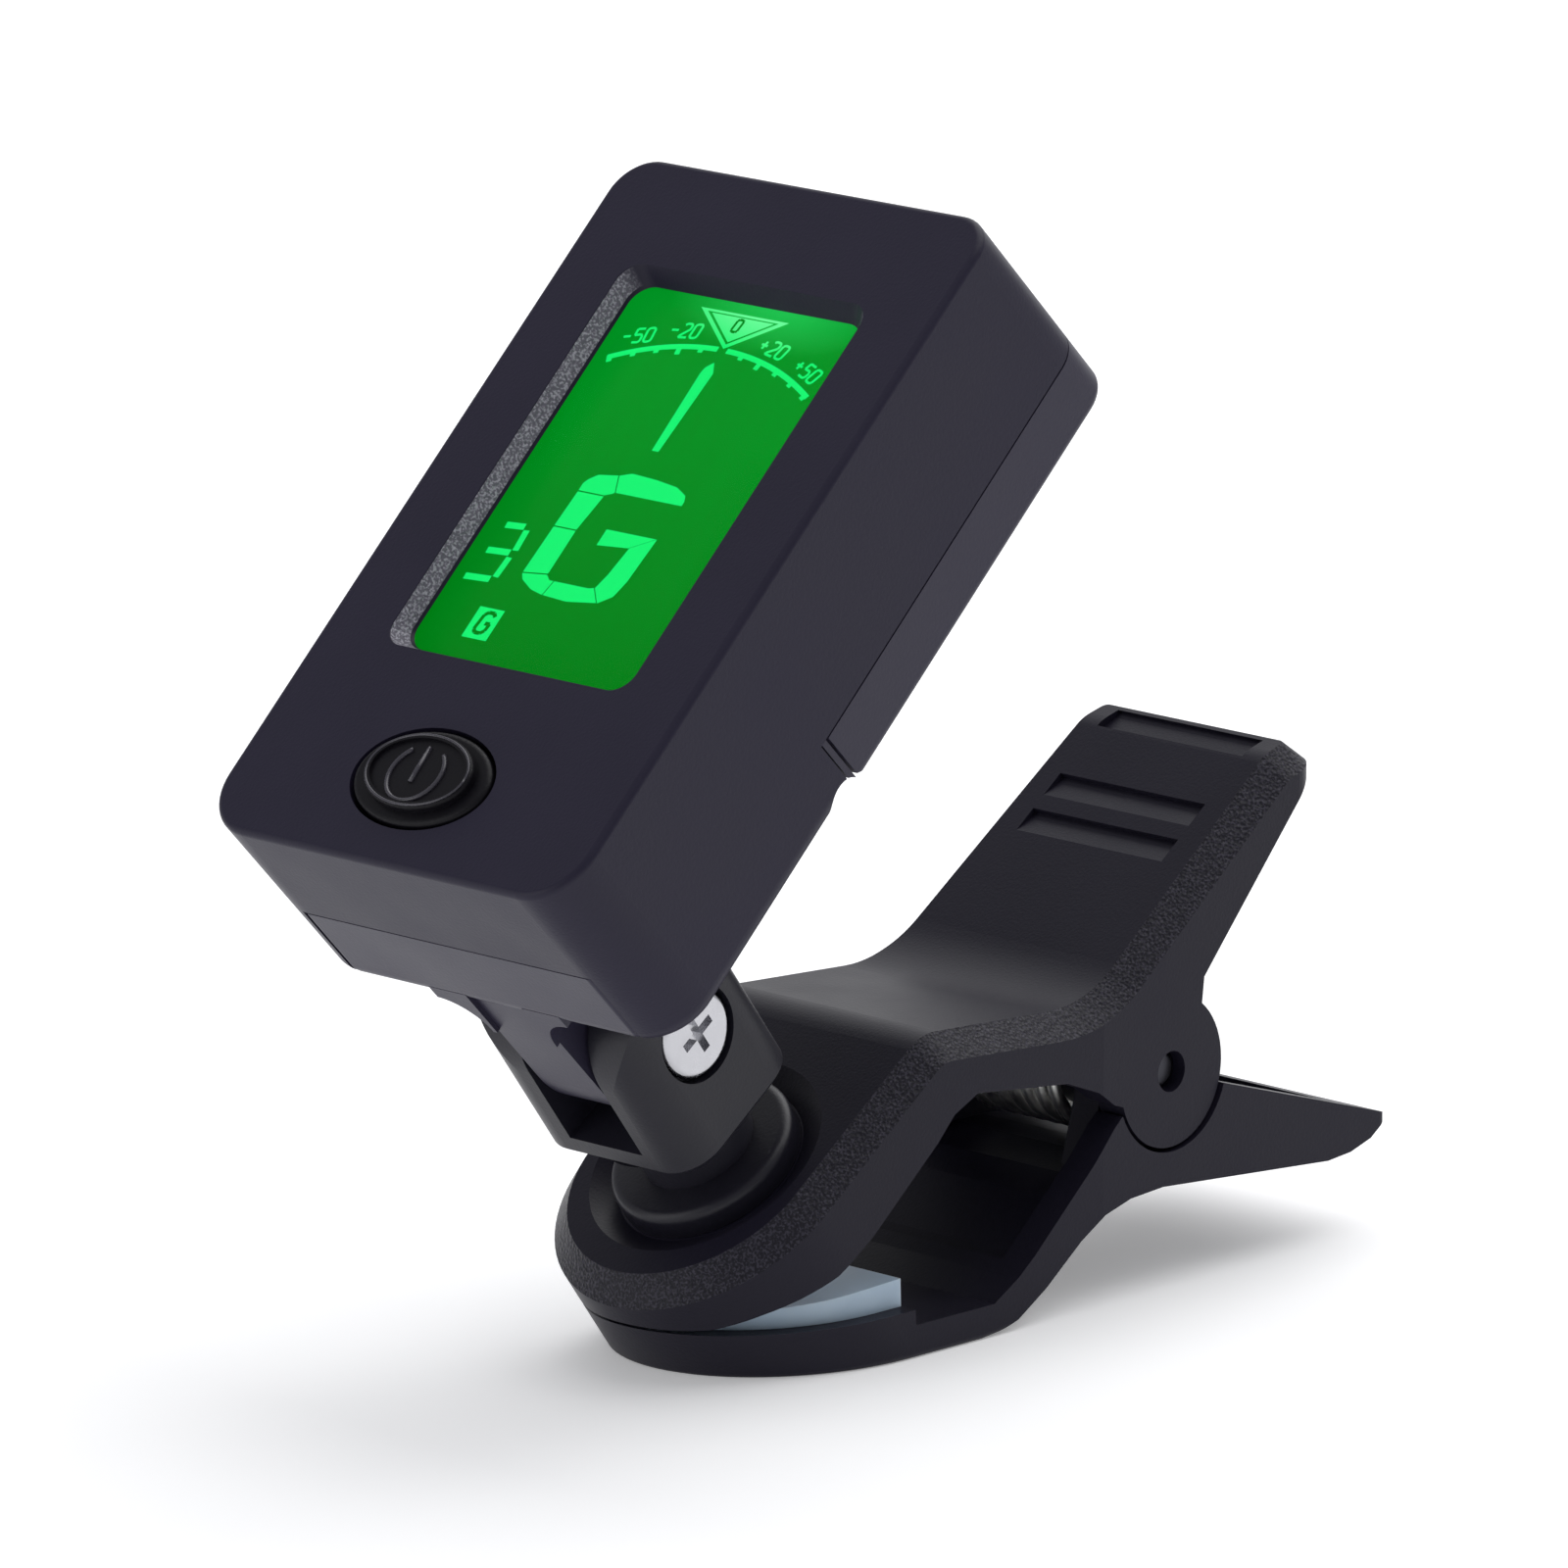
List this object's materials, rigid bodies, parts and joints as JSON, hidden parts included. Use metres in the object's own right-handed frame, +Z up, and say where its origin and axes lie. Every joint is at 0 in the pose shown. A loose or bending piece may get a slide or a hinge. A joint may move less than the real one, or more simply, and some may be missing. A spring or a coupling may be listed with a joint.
{
  "type": "clip-on tuner",
  "caption": "Clip-on tuner: a lit display head that tilts and swivels on a stem, over a spring-loaded padded clamp with squeeze handles.",
  "frame": {"origin": "middle of the flat underside of the lower jaw, on which the closed clip stands", "axes": "+Z up away from the flat underside, +X from the jaw tip towards the squeeze handles, +Y across the clip; all symmetric about Y = 0 except the pivot screw and nut, the button's 0.5 mm offset, the spring legs and small board parts"},
  "size_m": [0.0733, 0.0286, 0.0656],
  "materials": {
    "head_plastic": "fine satin charcoal ABS",
    "lever_plastic": "satin charcoal nylon with sparkle texture on the rim band",
    "stem_plastic": "near black acetal",
    "button_rubber": "soft black keycap",
    "pad_rubber": "soft translucent pale blue-grey elastomer",
    "lens": "clear acrylic window",
    "display": "segment display glass, lit green",
    "backlight": "diffusing light guide",
    "led_body": "side view led",
    "board": "green solder mask",
    "chip_black": "epoxy blob and moulded parts",
    "steel": "bright zinc plated steel",
    "spring_steel": "plain spring wire",
    "dark_steel": "blackened steel pin",
    "nickel": "nickel plated strip",
    "brass_disc": "bare brass",
    "tan_part": "ceramic body",
    "strip_rubber": "layered conductive strip",
    "washer_plastic": "natural nylon washer"
  },
  "bodies": {
    "lower": {"lower_jaw": "lever_plastic", "lower_pad": "pad_rubber", "clip_pin": "dark_steel", "torsion_spring": "spring_steel"},
    "upper": {"upper_jaw": "lever_plastic", "upper_pad": "pad_rubber"},
    "stem": {"fork_stem": "stem_plastic", "swivel_screw": "steel", "swivel_washer": "steel", "pivot_screw": "steel", "pivot_nut": "steel", "friction_washers": "washer_plastic"},
    "head": {"front_shell": "head_plastic", "rear_shell": "head_plastic", "window_lens": "lens", "display_glass": "display", "backlight_panel": "backlight", "backlight_led": "led_body", "zebra_strip": "strip_rubber", "circuit_board": "board", "controller_chip": "chip_black", "crystal": "steel", "capacitors": "tan_part", "tact_switch": "chip_black", "coin_cell": "nickel", "contact_negative": "nickel", "contact_positive": "nickel", "piezo_disc": "brass_disc", "piezo_leads": "steel", "case_screws": "steel"},
    "button": {"power_button": "button_rubber", "switch_plunger": "chip_black"},
    "door": {"battery_door": "head_plastic"}
  },
  "joints": [
    {"name": "jaw_open", "type": "hinge", "parent": "lower", "child": "upper", "pos_m": [0.021, 0, 0.01275], "axis": [0, 1, 0], "range_deg": [0, 28], "stiffness_Nm_per_rad": 0.08, "springref_deg": -35, "deforming": ["torsion_spring"]},
    {"name": "stem_swivel", "type": "hinge", "parent": "upper", "child": "stem", "pos_m": [-0.00779, 0, 0.01149], "axis": [-0.5948, 0, 0.8039], "continuous": true},
    {"name": "head_tilt", "type": "hinge", "parent": "stem", "child": "head", "pos_m": [-0.01475, 0, 0.0209], "axis": [0, 1, 0], "range_deg": [-60, 40]},
    {"name": "button_press", "type": "slide", "parent": "head", "child": "button", "axis": [0.6934, 0, -0.7206], "range_m": [0, 0.0005], "stiffness_N_per_m": 1200, "springref_m": -0.0006},
    {"name": "door_slide", "type": "slide", "parent": "head", "child": "door", "axis": [0.7206, 0, 0.6934], "range_m": [0, 0.03]}
  ]
}
